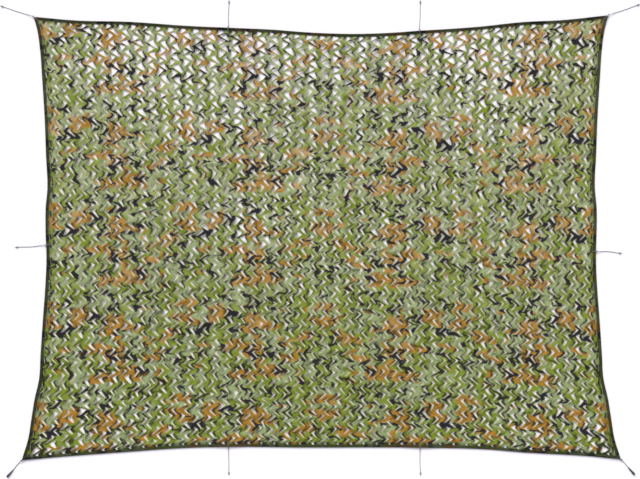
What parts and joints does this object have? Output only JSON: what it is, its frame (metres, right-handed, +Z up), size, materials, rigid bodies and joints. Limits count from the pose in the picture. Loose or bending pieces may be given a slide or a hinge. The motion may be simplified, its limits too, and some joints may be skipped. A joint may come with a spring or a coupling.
{
  "type": "camouflage net",
  "caption": "Leaf-cut camouflage net in woodland colours, laid flat, with a rolled hem drawn in between its corners and short knotted ties round its edge.",
  "frame": {"origin": "middle of the net's outline, on the floor that it lies on", "axes": "+X along the net's long side, +Y towards its upper edge in the picture, +Z up from the floor, out of the cloth's face"},
  "size_m": [4.4837, 3.3428, 0.019],
  "materials": {
    "net_cloth": "printed leaf-cut polyester cloth, matt",
    "cord_grey": "grey twisted cord",
    "cord_black": "black twisted cord"
  },
  "bodies": {
    "root": {"net_cloth": "net_cloth", "tie_hitch_corner_top_left": "cord_grey", "tie_cord_corner_top_left": "cord_grey", "tie_knot_corner_top_left": "cord_grey", "tie_hitch_top_left": "cord_grey", "tie_cord_top_left": "cord_grey", "tie_knot_top_left": "cord_grey", "tie_hitch_top_right": "cord_grey", "tie_cord_top_right": "cord_grey", "tie_knot_top_right": "cord_grey", "tie_hitch_corner_top_right": "cord_grey", "tie_cord_corner_top_right": "cord_grey", "tie_knot_corner_top_right": "cord_grey", "tie_hitch_side_right": "cord_grey", "tie_cord_side_right": "cord_grey", "tie_knot_side_right": "cord_grey", "tie_hitch_corner_bottom_right": "cord_black", "tie_cord_corner_bottom_right": "cord_black", "tie_knot_corner_bottom_right": "cord_black", "tie_hitch_bottom_right": "cord_grey", "tie_cord_bottom_right": "cord_grey", "tie_knot_bottom_right": "cord_grey", "tie_hitch_bottom_left": "cord_grey", "tie_cord_bottom_left": "cord_grey", "tie_knot_bottom_left": "cord_grey", "tie_hitch_corner_bottom_left": "cord_black", "tie_cord_corner_bottom_left": "cord_black", "tie_knot_corner_bottom_left": "cord_black", "tie_hitch_side_left": "cord_grey", "tie_cord_side_left": "cord_grey", "tie_knot_side_left": "cord_grey"}
  },
  "joints": []
}
